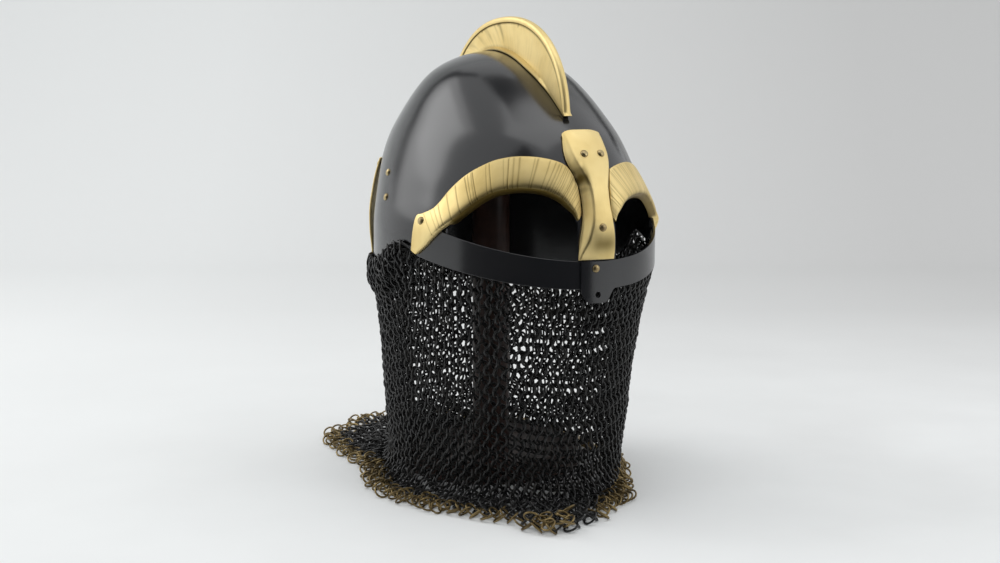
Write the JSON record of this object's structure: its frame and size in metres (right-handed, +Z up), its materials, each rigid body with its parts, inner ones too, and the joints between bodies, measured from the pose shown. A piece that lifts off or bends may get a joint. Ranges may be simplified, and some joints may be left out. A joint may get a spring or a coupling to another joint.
{
  "type": "norse iron helmet with mail aventail on a wooden stand",
  "caption": "Domed steel helmet with brass crest, brows and nasal, open eyes and a long mail curtain with a brass hem, on a turned wooden stand",
  "frame": {"origin": "middle of the stand's foot, on the table", "axes": "+Z up, the helmet faces -Y, +X is the wearer's left"},
  "size_m": [0.2149, 0.3563, 0.3355],
  "materials": {
    "black_steel": "gloss black enamel over steel",
    "brass": "satin, filed across",
    "rivet_brass": "darkened brass heads",
    "mail_black": "oiled black iron wire rings",
    "mail_brass": "dull brass wire rings",
    "stained_wood": "dark red-brown stain, glossy"
  },
  "bodies": {
    "root": {"skull": "black_steel", "visor_left": "black_steel", "visor_right": "black_steel", "crest": "brass", "brow_left": "brass", "brow_right": "brass", "nasal": "brass", "strip_left": "brass", "strip_right": "brass", "nasal_rivet_left": "rivet_brass", "nasal_rivet_right": "rivet_brass", "nasal_rivet_low": "rivet_brass", "visor_rivet": "rivet_brass", "brow_rivet_left": "rivet_brass", "brow_rivet_right": "rivet_brass", "mail_wire": "mail_black", "mail_curtain": "mail_black", "mail_hem": "mail_brass", "stand_foot": "stained_wood", "stand_post": "stained_wood", "stand_head": "stained_wood", "side_rivet_left_1": "rivet_brass", "side_rivet_left_2": "rivet_brass", "strip_rivet_left_1": "rivet_brass", "strip_rivet_left_2": "rivet_brass", "strip_rivet_left_3": "rivet_brass", "strip_rivet_left_4": "rivet_brass", "side_rivet_right_1": "rivet_brass", "side_rivet_right_2": "rivet_brass", "strip_rivet_right_1": "rivet_brass", "strip_rivet_right_2": "rivet_brass", "strip_rivet_right_3": "rivet_brass", "strip_rivet_right_4": "rivet_brass"}
  },
  "joints": []
}
